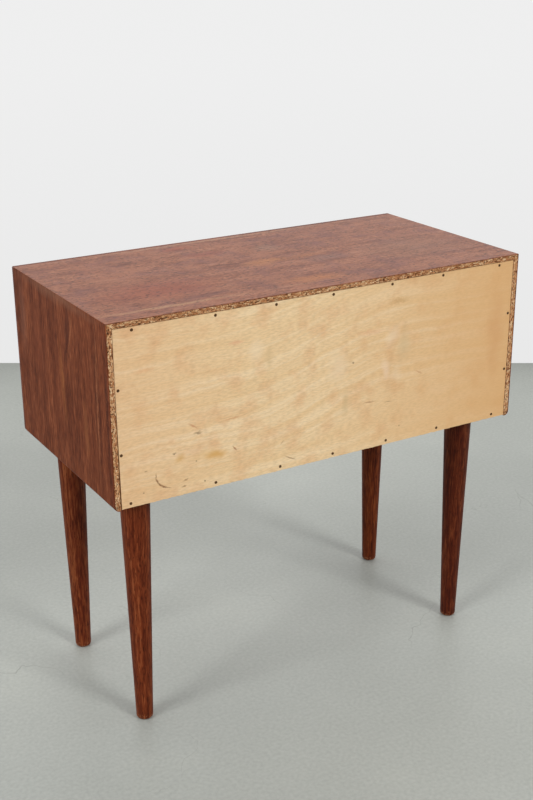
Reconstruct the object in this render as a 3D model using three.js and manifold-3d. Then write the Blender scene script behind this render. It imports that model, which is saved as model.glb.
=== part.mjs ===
// A small sewing table: a mitred, veneered case on four round tapered legs, with two inset drawers.
// The upper drawer holds a thread-spool section and a sliding tray, and the lower one is deep and plain.
// Millimetres, +Z up, X across the front, the drawers open towards -Y, and the legs stand on Z = 0.
import * as THREE from "three";
import { mergeVertices } from "three/addons/utils/BufferGeometryUtils.js";
import Module from "manifold-3d";

const wasm = await Module();
wasm.setup();

// ---------- Driving dimensions ----------

// Case
const WIDTH = 600;
const DEPTH = 296;
const CASE_HEIGHT = 231;
const BOARD = 16; // veneered particle board
const TOP_EDGE_RADIUS = 1;
const BOTTOM_EDGE_RADIUS = 6;
const LIPPING_DEPTH = 5; // solid teak strips that cover the front edges of the boards
const GLUE_GAP = 0.3; // between faces that are glued or screwed together

// Back panel
const PLY = 4;
const REBATE_LIP = 7.5; // what is left of a board outside the rebate
const PLY_GAP = 0.7; // round the panel's edge
const PLY_RAISE = 1; // the panel's lower edge above the case's underside

// Legs and their fixings
const LEG_LENGTH = 329;
const LEG_TOP_RADIUS = 19.2;
const LEG_FOOT_RADIUS = 11;
const LEG_FOOT_ROUND = 3.5;
const LEG_TOP_CHAMFER = 0.8;
const LEG_INSET_SIDE = 48; // from the case's side to the leg's axis
const LEG_INSET_BACK = 50;
const LEG_INSET_FRONT = 41;
const BOLT_RADIUS = 4; // M8 hanger bolt
const BOLT_IN_LEG = 38;
const BOLT_CHAMFER = 0.8;
const NUT_WALL = 1.3;
const NUT_BARREL = 11;
const NUT_FLANGE_RADIUS = 10;
const NUT_FLANGE = 1.2;
const FIT = 0.3; // round a bolt, a barrel or a dowel in its hole

// Drawers
const FRONT = 14;
const FRONT_RECESS = 16; // from the case's front edge to the drawer fronts
const REVEAL = 2; // the gap round a drawer front
const UPPER_FRONT_HEIGHT = 79;
const SIDE = 10; // thickness of the drawer's sides and back
const SIDE_FOOT = 3; // the side's lower edge above the front's
const SIDE_HEAD = 9; // the side's upper edge below the front's
const BACK_CLEARANCE = 18; // behind a closed drawer
const DRAWER_BOTTOM = 4;
const BOTTOM_RAISE = 7; // the bottom's underside above the side's lower edge
const GROOVE = 5;
const TAIL_LENGTH = 9;
const TAIL_PITCH = 24; // about one dovetail for each of these
const TAIL_TIP = 0.62; // a tail's width as a share of the pitch, at its end and at its root
const TAIL_ROOT = 0.44;
const FINGER_PITCH = 12;

// Runners
const RUNNER_HEIGHT = 14;
const RUNNER_THICK = 7;
const RUNNER_SLACK = 0.4; // above and below, in the drawer's groove
const RUNNER_START = 12; // behind the drawer front's back face
const RUNNER_BACK_GAP = 8; // to the back panel
const RUNNER_STOP = 0.5; // to the groove's closed end

// Pulls
const PULL_LENGTH = 176;
const PULL_HEIGHT = 21;
const PULL_DEPTH = 15;
const PULL_WEB = 3.5; // behind the finger scoop
const PULL_END = 30; // length of the curve at each end
const PULL_NOSE_HEIGHT = 13; // of the lip's nose above the pull's lower edge
const PULL_NOSE = 2; // the nose's rounding
const PULL_HOOK = 4; // how far the scoop curves up behind the nose

// Spool section of the upper drawer
const SPOOL_SECTION = 170;
const SECTION_DIVIDER = 8;
const SPOOL_BOARD = 8;
const PEG_RADIUS = 3.5;
const PEG_HEIGHT = 30;
const PEG_SUNK = 5;
const PEG_COLUMNS = 2;
const PEG_ROWS = 5;
const PEG_ROUND = 1.2;

// Sliding tray of the upper drawer
const LEDGE = 8;
const RIM_DROP = 1.5; // the tray's rim below the upper edges of the drawer's sides
const LOW_DIVIDER = 6;
const LOW_DIVIDERS = 2;
const LOW_DIVIDER_DROP = 2; // below the ledges' tops, out of the tray's way
const TRAY_LENGTH = 180;
const TRAY_HEIGHT = 24;
const TRAY_WALL = 7;
const TRAY_SLACK = 1; // at each side that slides
const TRAY_BOTTOM = 3;
const TRAY_BOTTOM_RAISE = 2;
const TRAY_GROOVE = 3;
const TRAY_DIVIDER = 5;
const TRAY_DIVIDER_DROP = 3; // below the tray's rim
const TRAY_FINGER_PITCH = 8;

// Smoothness
const ROUND_SIDES = 32;
const SMALL_SIDES = 16;
const ARC_STEPS = 5;

// ---------- Worked-out places ----------

const caseBottom = LEG_LENGTH;
const caseTop = caseBottom + CASE_HEIGHT;
const innerBottom = caseBottom + BOARD;
const innerTop = caseTop - BOARD;
const innerHalf = WIDTH / 2 - BOARD;
const frontEdge = -DEPTH / 2;
const backEdge = DEPTH / 2;
const plyFace = backEdge - PLY;

const frontFace = frontEdge + FRONT_RECESS;
const frontBack = frontFace + FRONT;
const drawerHalf = innerHalf - REVEAL;
const drawerRear = plyFace - BACK_CLEARANCE;
const drawerInnerHalf = drawerHalf - SIDE;
const drawerInnerRear = drawerRear - SIDE;
const lowerFrontHeight = innerTop - innerBottom - 3 * REVEAL - UPPER_FRONT_HEIGHT;

// ---------- Materials ----------

const wood = (color, roughness = 0.6) => new THREE.MeshStandardMaterial({ color, roughness, metalness: 0 });
const teakVeneer = wood(0x7b4a38);
const solidTeak = wood(0x6b3420, 0.5);
const plywood = wood(0xe0bb86, 0.65);
const beech = wood(0xd2aa7c);
const steel = new THREE.MeshStandardMaterial({ color: 0xb4b2ab, roughness: 0.4, metalness: 1 });

// ---------- Helpers ----------

const table = new THREE.Group();

function add(name, geometry, material) {
  const mesh = new THREE.Mesh(geometry, material);
  mesh.name = name;
  table.add(mesh);
}

function block(x0, x1, y0, y1, z0, z1) {
  const box = new THREE.BoxGeometry(x1 - x0, y1 - y0, z1 - z0);
  return box.translate((x0 + x1) / 2, (y0 + y1) / 2, (z0 + z1) / 2);
}

// A flat outline pushed through space: plane XZ runs along Y, YZ along X and XY along Z.
function prism(shape, plane, from, to) {
  const [x, y, z] = [new THREE.Vector3(1, 0, 0), new THREE.Vector3(0, 1, 0), new THREE.Vector3(0, 0, 1)];
  const frames = {
    XY: [x, y, z, z.clone().multiplyScalar(from)],
    XZ: [x, z, y.clone().negate(), y.clone().multiplyScalar(to)],
    YZ: [y, z, x, x.clone().multiplyScalar(from)],
  };
  const [u, v, w, start] = frames[plane];
  const options = { depth: to - from, bevelEnabled: false, curveSegments: ARC_STEPS };
  return new THREE.ExtrudeGeometry(shape, options)
    .applyMatrix4(new THREE.Matrix4().makeBasis(u, v, w))
    .translate(start.x, start.y, start.z);
}

const outline = (points) => new THREE.Shape(points.map(([u, v]) => new THREE.Vector2(u, v)));

// A turned piece standing on Z = bottom. Its profile is a list of [radius, height], from axis to axis.
function turned(profile, sides, x, y, bottom) {
  const points = profile.map(([r, h]) => new THREE.Vector2(r, h));
  return new THREE.LatheGeometry(points, sides).rotateX(Math.PI / 2).translate(x, y, bottom);
}

// The round plug that a drilled hole takes away.
const drill = (radius, depth, x, y, bottom) =>
  turned([[0, 0], [radius, 0], [radius, depth], [0, depth]], SMALL_SIDES, x, y, bottom);

// Points of an arc about (cx, cy), the angles in degrees.
function arc(cx, cy, radius, from, to, steps = ARC_STEPS) {
  return Array.from({ length: steps + 1 }, (_, i) => {
    const angle = THREE.MathUtils.degToRad(from + ((to - from) * i) / steps);
    return [cx + radius * Math.cos(angle), cy + radius * Math.sin(angle)];
  });
}

function solidOf(geometry) {
  const bare = geometry.clone();
  bare.deleteAttribute("normal");
  bare.deleteAttribute("uv");
  const merged = mergeVertices(bare, 1e-4);
  const vertProperties = merged.attributes.position.array;
  const triVerts = new Uint32Array(merged.index.array);
  return new wasm.Manifold(new wasm.Mesh({ numProp: 3, vertProperties, triVerts }));
}

function geometryOf(solid) {
  const mesh = solid.getMesh();
  const position = new THREE.BufferAttribute(new Float32Array(mesh.vertProperties), 3);
  return new THREE.BufferGeometry()
    .setAttribute("position", position)
    .setIndex(new THREE.BufferAttribute(new Uint32Array(mesh.triVerts), 1))
    .toNonIndexed();
}

const cut = (geometry, tools) =>
  geometryOf(tools.reduce((solid, tool) => solid.subtract(solidOf(tool)), solidOf(geometry)));

// ---------- Case: four boards mitred at the corners, their front lippings, and the back panel ----------

// Half the outline of a mitred board, from its inner corner round to its outer face.
// The board's length runs along u, and its outer face is at v = 0.
function mitreEnd(halfLength, radius) {
  const shift = GLUE_GAP * Math.SQRT1_2;
  const centre = [halfLength - radius, radius];
  return [
    [halfLength - BOARD - shift, BOARD],
    ...arc(...centre, radius, -45, -90, 3).map(([u, v]) => [u - shift, v]),
  ];
}

function mitredOutline(length, startRadius, endRadius, place) {
  const end = mitreEnd(length / 2, endRadius);
  const start = mitreEnd(length / 2, startRadius)
    .map(([u, v]) => [-u, v])
    .reverse();
  return outline([...end, ...start].map(place));
}

const middle = (caseTop + caseBottom) / 2;
const sideRadii = [BOTTOM_EDGE_RADIUS, TOP_EDGE_RADIUS];
const boards = {
  top: [WIDTH, TOP_EDGE_RADIUS, TOP_EDGE_RADIUS, ([u, v]) => [u, caseTop - v]],
  bottom: [WIDTH, BOTTOM_EDGE_RADIUS, BOTTOM_EDGE_RADIUS, ([u, v]) => [-u, caseBottom + v]],
  left: [CASE_HEIGHT, ...sideRadii, ([u, v]) => [v - WIDTH / 2, middle + u]],
  right: [CASE_HEIGHT, ...sideRadii.toReversed(), ([u, v]) => [WIDTH / 2 - v, middle - u]],
};

const legPlaces = {
  front_left: [-WIDTH / 2 + LEG_INSET_SIDE, frontEdge + LEG_INSET_FRONT],
  front_right: [WIDTH / 2 - LEG_INSET_SIDE, frontEdge + LEG_INSET_FRONT],
  back_left: [-WIDTH / 2 + LEG_INSET_SIDE, backEdge - LEG_INSET_BACK],
  back_right: [WIDTH / 2 - LEG_INSET_SIDE, backEdge - LEG_INSET_BACK],
};

const plyHalf = WIDTH / 2 - REBATE_LIP - PLY_GAP;
// The rebate runs round the top and the sides, and takes the bottom board's whole rear edge.
const rebate = block(
  -WIDTH / 2 + REBATE_LIP,
  WIDTH / 2 - REBATE_LIP,
  plyFace - GLUE_GAP,
  backEdge + 1,
  caseBottom - 1,
  caseTop - REBATE_LIP,
);
const nutHoles = Object.values(legPlaces).map(([x, y]) =>
  drill(BOLT_RADIUS + FIT + NUT_WALL + FIT, BOARD + 2, x, y, caseBottom - 1),
);

for (const [name, [length, startRadius, endRadius, place]] of Object.entries(boards)) {
  const shape = mitredOutline(length, startRadius, endRadius, place);
  const board = prism(shape, "XZ", frontEdge + LIPPING_DEPTH + GLUE_GAP, backEdge);
  const cuts = name === "bottom" ? [rebate, ...nutHoles] : [rebate];
  const kind = name === "left" || name === "right" ? "side_panel" : "panel";
  add(`${name}_${kind}`, cut(board, cuts), teakVeneer);
  add(`${name}_lipping`, prism(shape, "XZ", frontEdge, frontEdge + LIPPING_DEPTH), solidTeak);
}

add(
  "back_panel",
  block(-plyHalf, plyHalf, plyFace, backEdge, caseBottom + PLY_RAISE, caseTop - REBATE_LIP - PLY_GAP),
  plywood,
);

// ---------- Legs, each drawn up to the case by a hanger bolt and a flanged nut ----------

const boltHole = BOLT_RADIUS + FIT;
const legTop = LEG_LENGTH - GLUE_GAP;
const legProfile = [
  [0, 0],
  ...arc(LEG_FOOT_RADIUS - LEG_FOOT_ROUND, LEG_FOOT_ROUND, LEG_FOOT_ROUND, -90, 0),
  [LEG_TOP_RADIUS, legTop - LEG_TOP_CHAMFER],
  [LEG_TOP_RADIUS - LEG_TOP_CHAMFER, legTop],
  [boltHole, legTop],
  [boltHole, legTop - BOLT_IN_LEG - FIT],
  [0, legTop - BOLT_IN_LEG - FIT],
];
const boltLength = BOLT_IN_LEG + GLUE_GAP + BOARD;
const boltProfile = [
  [0, 0],
  [BOLT_RADIUS - BOLT_CHAMFER, 0],
  [BOLT_RADIUS, BOLT_CHAMFER],
  [BOLT_RADIUS, boltLength - BOLT_CHAMFER],
  [BOLT_RADIUS - BOLT_CHAMFER, boltLength],
  [0, boltLength],
];
const nutProfile = [
  [boltHole, 0],
  [boltHole + NUT_WALL, 0],
  [boltHole + NUT_WALL, NUT_BARREL],
  [NUT_FLANGE_RADIUS, NUT_BARREL],
  [NUT_FLANGE_RADIUS, NUT_BARREL + NUT_FLANGE],
  [boltHole, NUT_BARREL + NUT_FLANGE],
  [boltHole, 0],
];

for (const [place, [x, y]] of Object.entries(legPlaces)) {
  add(`${place}_leg`, turned(legProfile, ROUND_SIDES, x, y, 0), solidTeak);
  add(`${place}_hanger_bolt`, turned(boltProfile, SMALL_SIDES, x, y, legTop - BOLT_IN_LEG), steel);
  const nutBottom = innerBottom + GLUE_GAP - NUT_BARREL;
  add(`${place}_flanged_nut`, turned(nutProfile, SMALL_SIDES, x, y, nutBottom), steel);
}

// ---------- Drawers ----------

// Dovetails on the front end of a drawer side, and the sockets for them, one for each TAIL_PITCH of height.
function tails(z0, z1, grow) {
  const count = Math.max(2, Math.round((z1 - z0) / TAIL_PITCH));
  const pitch = (z1 - z0) / count;
  return Array.from({ length: count }, (_, i) => {
    const z = z0 + (i + 0.5) * pitch;
    return { z, tip: (TAIL_TIP / 2) * pitch + grow, root: (TAIL_ROOT / 2) * pitch + grow };
  });
}

// Heights at which the fingers of a corner change over from one board to the other.
function fingerStops(z0, z1, pitch) {
  const count = 2 * Math.max(1, Math.round((z1 - z0) / pitch / 2)) + 1;
  return Array.from({ length: count + 1 }, (_, i) => z0 + ((z1 - z0) * i) / count);
}

// The stepped edge of a finger joint, going up: a board's own stretches, the even or the odd ones,
// reach to the tip, and between them it stops at the root.
function fingerEdge(stops, own, tip, root) {
  return stops.slice(0, -1).flatMap((from, i) => {
    const mine = i % 2 === own;
    const slack = mine ? GLUE_GAP / 2 : -GLUE_GAP / 2;
    const low = i > 0 ? from + slack : from;
    const high = i < stops.length - 2 ? stops[i + 1] - slack : stops[i + 1];
    const reach = mine ? tip : root;
    return [[reach, low], [reach, high]];
  });
}

// A drawer side's outline in the YZ plane: tails at the front, and fingers for the back board at the rear.
function sideOutline(z0, z1, backZ0) {
  const stops = fingerStops(backZ0, z1, FINGER_PITCH);
  const shoulder = frontBack + GLUE_GAP;
  const tailEnd = frontBack - TAIL_LENGTH;
  return outline([
    [shoulder, z0],
    [drawerRear, z0],
    ...fingerEdge(stops, 0, drawerRear, drawerInnerRear - GLUE_GAP).slice(1),
    [shoulder, z1],
    ...tails(z0, z1, 0).reverse().flatMap(({ z, tip, root }) => [
      [shoulder, z + root],
      [tailEnd, z + tip],
      [tailEnd, z - tip],
      [shoulder, z - root],
    ]),
  ]);
}

// A board with fingers at both ends, drawn in the plane of its length and its height.
function fingeredOutline(stops, own, outer, inner) {
  const start = fingerEdge(stops, own, outer[0], inner[0] + GLUE_GAP);
  const end = fingerEdge(stops, own, outer[1], inner[1] - GLUE_GAP);
  return outline([...end, ...start.reverse()]);
}

// The pull's section in the YZ plane, from its back face and lower edge: a lip over a finger scoop.
function pullSection(y, z) {
  const front = y - PULL_DEPTH;
  const web = y - PULL_WEB;
  const top = z + PULL_HEIGHT;
  const nose = z + PULL_NOSE_HEIGHT;
  const shape = new THREE.Shape();
  shape.moveTo(y, z);
  shape.lineTo(y, top);
  shape.quadraticCurveTo(y - PULL_DEPTH * 0.7, top, front, nose + PULL_NOSE);
  shape.quadraticCurveTo(front, nose - PULL_NOSE, front + PULL_NOSE, nose - PULL_NOSE);
  shape.bezierCurveTo(front + PULL_HOOK, nose + PULL_HOOK, web, nose + PULL_HOOK, web, z + PULL_WEB);
  shape.lineTo(web + 1, z);
  return shape;
}

// Seen from above, the pull's ends curve back to the drawer front.
function pullPlan(y) {
  const half = PULL_LENGTH / 2;
  const front = y - PULL_DEPTH - 1;
  const shape = new THREE.Shape();
  shape.moveTo(-half, y + 1);
  shape.lineTo(-half, y - 2);
  shape.quadraticCurveTo(-half + 4, front, -half + PULL_END, front);
  shape.lineTo(half - PULL_END, front);
  shape.quadraticCurveTo(half - 4, front, half, y - 2);
  shape.lineTo(half, y + 1);
  return shape;
}

// One drawer between its front's lower and upper edges. The sides ride on runners screwed to the case.
function addDrawer(name, z0, z1) {
  const sideZ0 = z0 + SIDE_FOOT;
  const sideZ1 = z1 - SIDE_HEAD;
  const floorUnder = sideZ0 + BOTTOM_RAISE;
  const floorTop = floorUnder + DRAWER_BOTTOM;
  const backZ0 = floorTop + GLUE_GAP;
  const runnerZ = (sideZ0 + sideZ1) / 2 + BOTTOM_RAISE / 2;
  const runnerFront = frontBack + RUNNER_START;

  const floorGroove = block(
    -drawerInnerHalf - GROOVE - FIT,
    drawerInnerHalf + GROOVE + FIT,
    frontBack - GROOVE - FIT,
    drawerRear + 1,
    floorUnder - FIT,
    floorTop + FIT,
  );
  const sockets = tails(sideZ0, sideZ1, FIT).flatMap(({ z, tip, root }) => {
    const front = frontBack - TAIL_LENGTH - FIT;
    const shape = outline([
      [frontBack + GLUE_GAP, z - root],
      [frontBack + GLUE_GAP, z + root],
      [front, z + tip],
      [front, z - tip],
    ]);
    const inner = drawerInnerHalf - FIT;
    return [prism(shape, "YZ", inner, drawerHalf + 1), prism(shape, "YZ", -drawerHalf - 1, -inner)];
  });
  const frontBoard = block(-drawerHalf, drawerHalf, frontFace, frontBack, z0, z1);
  add(`${name}_drawer_front`, cut(frontBoard, [...sockets, floorGroove]), teakVeneer);

  const pullZ = (z0 + z1 - PULL_HEIGHT) / 2;
  const pullBack = frontFace - GLUE_GAP;
  const lip = prism(pullSection(pullBack, pullZ), "YZ", -PULL_LENGTH / 2, PULL_LENGTH / 2);
  const plan = prism(pullPlan(pullBack), "XY", pullZ - 1, pullZ + PULL_HEIGHT + 1);
  add(`${name}_drawer_pull`, geometryOf(solidOf(lip).intersect(solidOf(plan))), solidTeak);

  // Stopped grooves for the runners: their closed ends stop the drawer when it is pushed in.
  const runnerIn = innerHalf - GLUE_GAP - RUNNER_THICK;
  const across = { left: [-drawerHalf - 1, FIT - runnerIn], right: [runnerIn - FIT, drawerHalf + 1] };
  const grooves = Object.values(across).map(([x0, x1]) => {
    const [low, high] = [runnerZ - RUNNER_HEIGHT / 2, runnerZ + RUNNER_HEIGHT / 2];
    return block(x0, x1, runnerFront - RUNNER_STOP, drawerRear + 1, low - RUNNER_SLACK, high + RUNNER_SLACK);
  });

  const sideShape = sideOutline(sideZ0, sideZ1, backZ0);
  for (const [side, sign] of [["left", -1], ["right", 1]]) {
    const [x0, x1] = [sign * drawerInnerHalf, sign * drawerHalf].sort((a, b) => a - b);
    const board = prism(sideShape, "YZ", x0, x1);
    add(`${name}_drawer_${side}_side`, cut(board, [floorGroove, ...grooves]), beech);

    const [r0, r1] = [sign * runnerIn, sign * (innerHalf - GLUE_GAP)].sort((a, b) => a - b);
    const runner = block(
      r0,
      r1,
      runnerFront,
      plyFace - RUNNER_BACK_GAP,
      runnerZ - RUNNER_HEIGHT / 2,
      runnerZ + RUNNER_HEIGHT / 2,
    );
    add(`${name}_${side}_runner`, runner, beech);
  }

  const backStops = fingerStops(backZ0, sideZ1, FINGER_PITCH);
  const [outer, inner] = [drawerHalf, drawerInnerHalf].map((half) => [-half, half]);
  const backBoard = prism(fingeredOutline(backStops, 1, outer, inner), "XZ", drawerInnerRear, drawerRear);
  add(`${name}_drawer_back`, cut(backBoard, grooves), beech);
  const floor = block(
    -drawerInnerHalf - GROOVE,
    drawerInnerHalf + GROOVE,
    frontBack - GROOVE,
    drawerRear,
    floorUnder,
    floorTop,
  );
  add(`${name}_drawer_bottom`, floor, plywood);
  return { floorTop, rim: sideZ1 };
}

addDrawer("lower", innerBottom + REVEAL, innerBottom + REVEAL + lowerFrontHeight);
const upper = addDrawer("upper", innerTop - REVEAL - UPPER_FRONT_HEIGHT, innerTop - REVEAL);

// ---------- Fittings of the upper drawer ----------

const roomLeft = -drawerInnerHalf + GLUE_GAP;
const roomRight = drawerInnerHalf - GLUE_GAP;
const roomFront = frontBack + GLUE_GAP;
const roomRear = drawerInnerRear - GLUE_GAP;
const roomFloor = upper.floorTop + GLUE_GAP;
const dividerLeft = -drawerInnerHalf + SPOOL_SECTION;
const dividerRight = dividerLeft + SECTION_DIVIDER;
const trayRim = upper.rim - RIM_DROP;
const ledgeTop = trayRim - TRAY_HEIGHT - GLUE_GAP;

add("section_divider", block(dividerLeft, dividerRight, roomFront, roomRear, roomFloor, trayRim), beech);

// Spool board with its dowel pegs, glued down on the left.
const pegPlaces = [];
const spoolRoomX = dividerLeft - GLUE_GAP - roomLeft;
for (let column = 0; column < PEG_COLUMNS; column++) {
  for (let row = 0; row < PEG_ROWS; row++) {
    const x = roomLeft + (spoolRoomX * (column + 0.5)) / PEG_COLUMNS;
    const y = roomFront + ((roomRear - roomFront) * (row + 0.5)) / PEG_ROWS;
    pegPlaces.push([x, y]);
  }
}
const boardTop = roomFloor + SPOOL_BOARD;
const pegHoles = pegPlaces.map(([x, y]) => {
  const depth = PEG_SUNK + FIT;
  return drill(PEG_RADIUS + FIT, depth + 1, x, y, boardTop - depth);
});
const spoolBoard = block(roomLeft, dividerLeft - GLUE_GAP, roomFront, roomRear, roomFloor, boardTop);
add("spool_board", cut(spoolBoard, pegHoles), beech);

const pegLength = PEG_SUNK + PEG_HEIGHT;
const pegProfile = [
  [0, 0],
  [PEG_RADIUS, 0],
  ...arc(PEG_RADIUS - PEG_ROUND, pegLength - PEG_ROUND, PEG_ROUND, 0, 90, 2),
  [0, pegLength],
];
pegPlaces.forEach(([x, y], i) => {
  const name = `spool_peg_${String(i + 1).padStart(2, "0")}`;
  add(name, turned(pegProfile, SMALL_SIDES, x, y, boardTop - PEG_SUNK), beech);
});

// Ledges that the tray slides on, along the drawer's front and back.
const ledgeLeft = dividerRight + GLUE_GAP;
const ledgeZ0 = ledgeTop - LEDGE;
for (const [end, y] of [["front", roomFront], ["back", roomRear - LEDGE]]) {
  add(`${end}_tray_ledge`, block(ledgeLeft, roomRight, y, y + LEDGE, ledgeZ0, ledgeTop), beech);
}

// Low dividers under the tray, notched round the ledges.
for (let i = 1; i <= LOW_DIVIDERS; i++) {
  const x = ledgeLeft + ((roomRight - ledgeLeft) * i) / (LOW_DIVIDERS + 1);
  const notch = LEDGE + GLUE_GAP;
  const shoulder = ledgeZ0 - GLUE_GAP;
  const shape = outline([
    [roomFront, roomFloor],
    [roomRear, roomFloor],
    [roomRear, shoulder],
    [roomRear - notch, shoulder],
    [roomRear - notch, ledgeTop - LOW_DIVIDER_DROP],
    [roomFront + notch, ledgeTop - LOW_DIVIDER_DROP],
    [roomFront + notch, shoulder],
    [roomFront, shoulder],
  ]);
  add(`low_divider_${i}`, prism(shape, "YZ", x - LOW_DIVIDER / 2, x + LOW_DIVIDER / 2), beech);
}

// The tray, at its left stop. Its walls are finger-jointed round a thin bottom.
const trayX0 = dividerRight + TRAY_SLACK;
const trayX1 = trayX0 + TRAY_LENGTH;
const trayY0 = frontBack + TRAY_SLACK;
const trayY1 = drawerInnerRear - TRAY_SLACK;
const trayZ0 = ledgeTop + GLUE_GAP;
const trayInX0 = trayX0 + TRAY_WALL;
const trayInX1 = trayX1 - TRAY_WALL;
const trayInY0 = trayY0 + TRAY_WALL;
const trayInY1 = trayY1 - TRAY_WALL;
const trayBottomZ0 = trayZ0 + TRAY_BOTTOM_RAISE;
const trayInnerFloor = trayBottomZ0 + TRAY_BOTTOM;

const trayFloorGroove = block(
  trayInX0 - TRAY_GROOVE - FIT,
  trayInX1 + TRAY_GROOVE + FIT,
  trayInY0 - TRAY_GROOVE - FIT,
  trayInY1 + TRAY_GROOVE + FIT,
  trayBottomZ0 - FIT,
  trayInnerFloor + FIT,
);
const trayStops = fingerStops(trayZ0, trayRim, TRAY_FINGER_PITCH);
const trayEnd = fingeredOutline(trayStops, 0, [trayY0, trayY1], [trayInY0, trayInY1]);
const trayLong = fingeredOutline(trayStops, 1, [trayX0, trayX1], [trayInX0, trayInX1]);
add("tray_left_wall", cut(prism(trayEnd, "YZ", trayX0, trayInX0), [trayFloorGroove]), beech);
add("tray_right_wall", cut(prism(trayEnd, "YZ", trayInX1, trayX1), [trayFloorGroove]), beech);
add("tray_front_wall", cut(prism(trayLong, "XZ", trayY0, trayInY0), [trayFloorGroove]), beech);
add("tray_back_wall", cut(prism(trayLong, "XZ", trayInY1, trayY1), [trayFloorGroove]), beech);

const trayBottom = block(
  trayInX0 - TRAY_GROOVE,
  trayInX1 + TRAY_GROOVE,
  trayInY0 - TRAY_GROOVE,
  trayInY1 + TRAY_GROOVE,
  trayBottomZ0,
  trayInnerFloor,
);
add("tray_bottom", trayBottom, plywood);

// A long divider for scissors and needles on one side, and a cross one in the wider part.
const trayDividerX = trayInX0 + (trayInX1 - trayInX0) / 3;
const trayDividerTop = trayRim - TRAY_DIVIDER_DROP;
add(
  "tray_long_divider",
  block(
    trayDividerX,
    trayDividerX + TRAY_DIVIDER,
    trayInY0 + GLUE_GAP,
    trayInY1 - GLUE_GAP,
    trayInnerFloor + GLUE_GAP,
    trayDividerTop,
  ),
  beech,
);
add(
  "tray_cross_divider",
  block(
    trayDividerX + TRAY_DIVIDER + GLUE_GAP,
    trayInX1 - GLUE_GAP,
    (trayInY0 + trayInY1 - TRAY_DIVIDER) / 2,
    (trayInY0 + trayInY1 + TRAY_DIVIDER) / 2,
    trayInnerFloor + GLUE_GAP,
    trayDividerTop,
  ),
  beech,
);

export default table;
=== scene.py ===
# A small sewing table: a veneered case with a nailed plywood back, on four turned teak legs, with two
# drawers in front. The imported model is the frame, and every piece below is placed from it.
import math

import bmesh
import bpy
from mathutils import Matrix, Vector, noise


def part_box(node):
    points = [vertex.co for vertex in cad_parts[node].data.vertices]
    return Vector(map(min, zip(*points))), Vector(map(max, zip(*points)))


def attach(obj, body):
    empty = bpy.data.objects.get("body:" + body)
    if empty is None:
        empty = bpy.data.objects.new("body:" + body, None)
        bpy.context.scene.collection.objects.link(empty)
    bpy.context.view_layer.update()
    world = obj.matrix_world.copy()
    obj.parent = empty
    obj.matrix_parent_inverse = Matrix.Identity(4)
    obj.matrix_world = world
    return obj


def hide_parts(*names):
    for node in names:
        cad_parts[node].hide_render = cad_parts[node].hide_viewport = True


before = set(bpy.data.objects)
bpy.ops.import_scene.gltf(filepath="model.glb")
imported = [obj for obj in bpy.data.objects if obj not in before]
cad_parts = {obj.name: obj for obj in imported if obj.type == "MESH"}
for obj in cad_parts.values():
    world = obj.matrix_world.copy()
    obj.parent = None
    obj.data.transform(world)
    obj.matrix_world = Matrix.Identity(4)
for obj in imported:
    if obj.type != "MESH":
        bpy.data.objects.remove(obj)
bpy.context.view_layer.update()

MM = 0.001

# --------------------------------------------------------------------------------------------------
# Studio: a grey painted concrete floor that ends at a white wall, two softboxes and the camera.
# The floor has a low-gloss paint with faint cloudy stains, hairline cracks and specks of dirt.
# --------------------------------------------------------------------------------------------------


def linear(hex_colour):
    """A shader colour from an sRGB hex value."""
    parts = [int(hex_colour[i : i + 2], 16) / 255 for i in (1, 3, 5)]
    return [p / 12.92 if p <= 0.04045 else ((p + 0.055) / 1.055) ** 2.4 for p in parts] + [1.0]


def first(made):
    """A node's first output that is in use."""
    return next(s for s in made.outputs if s.enabled)


def node(tree, kind, inputs=(), stops=None, **settings):
    """Adds a shader node with its settings, its ramp's stops and its inputs, in order or by name.

    An input is a value, a hex colour, another node or one of its outputs.
    """
    made = tree.nodes.new("ShaderNode" + kind)
    for key, value in settings.items():
        setattr(made, key, value)
    used = [s for s in made.inputs if s.enabled]
    if isinstance(inputs, dict):
        pairs = [(next(s for s in used if key == s.name), value) for key, value in inputs.items()]
    else:
        pairs = zip(used, inputs)
    for socket, value in pairs:
        if isinstance(value, bpy.types.Node):
            value = first(value)
        if isinstance(value, bpy.types.NodeSocket):
            tree.links.new(value, socket)
        else:
            socket.default_value = linear(value) if isinstance(value, str) else value
    if stops:
        elements = made.color_ramp.elements
        while len(elements) < len(stops):
            elements.new(1.0)
        for element, (place, colour) in zip(elements, stops):
            element.position = place
            element.color = linear(colour) if isinstance(colour, str) else (colour, colour, colour, 1.0)
    return made


def surface(name):
    """A new material, its node tree and the surface point in millimetres."""
    material = bpy.data.materials.new(name)
    material.use_nodes = True
    tree = material.node_tree
    tree.nodes.clear()
    place = node(tree, "TexCoord").outputs["Object"]
    return material, tree, node(tree, "VectorMath", [place, 1 / MM], operation="SCALE")


def shade(tree, inputs):
    """Ends a material with its shader."""
    node(tree, "OutputMaterial", [node(tree, "BsdfPrincipled", inputs)])


def over(tree, factor, below, above, how="MIX"):
    """Lays one colour over another."""
    return node(tree, "Mix", [factor, below, above], data_type="RGBA", blend_type=how)


# In millimetres. The paint's grit is drawn coarser than it is, so that it still shows from across a room.
CLOUD_SIZE = 260
GRIT_SIZE = 5
SPECK_SPACING = 130
CRACK_SPACING = 420
CRACK_SWAY = 260


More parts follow.
